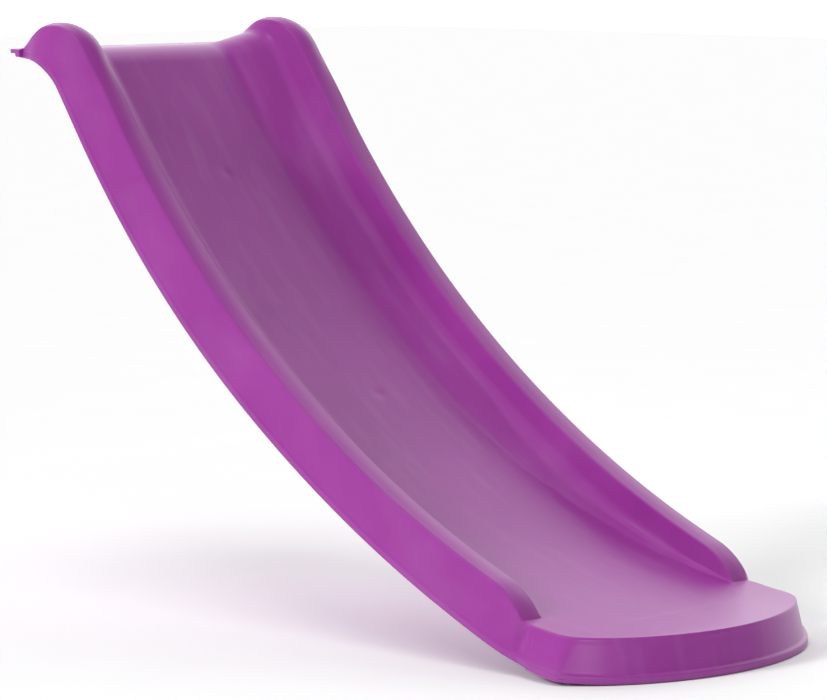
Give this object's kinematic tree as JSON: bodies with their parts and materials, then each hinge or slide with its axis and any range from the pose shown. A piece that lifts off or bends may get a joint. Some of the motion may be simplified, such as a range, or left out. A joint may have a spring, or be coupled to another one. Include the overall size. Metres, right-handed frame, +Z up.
{
  "type": "playground slide",
  "caption": "Hollow plastic slide chute for a play platform: flat screw-down top flange, raised side rims, dished run and a wide rounded toe.",
  "frame": {"origin": "middle of the overall length and width, on the ground", "axes": "+X down the run towards the toe, +Y across the width, +Z up; the top flange is at -X"},
  "size_m": [0.9394, 0.386, 0.6367],
  "materials": {
    "magenta_plastic": "satin gloss magenta polyethylene with fine moulding texture",
    "plug_plastic": "matt magenta plastic",
    "zinc_steel": "bright zinc plate"
  },
  "bodies": {
    "root": {"slide_shell": "magenta_plastic", "back_shell": "magenta_plastic", "needle_plug": "plug_plastic", "flange_screws": "zinc_steel", "cup_washers": "zinc_steel"}
  },
  "joints": []
}
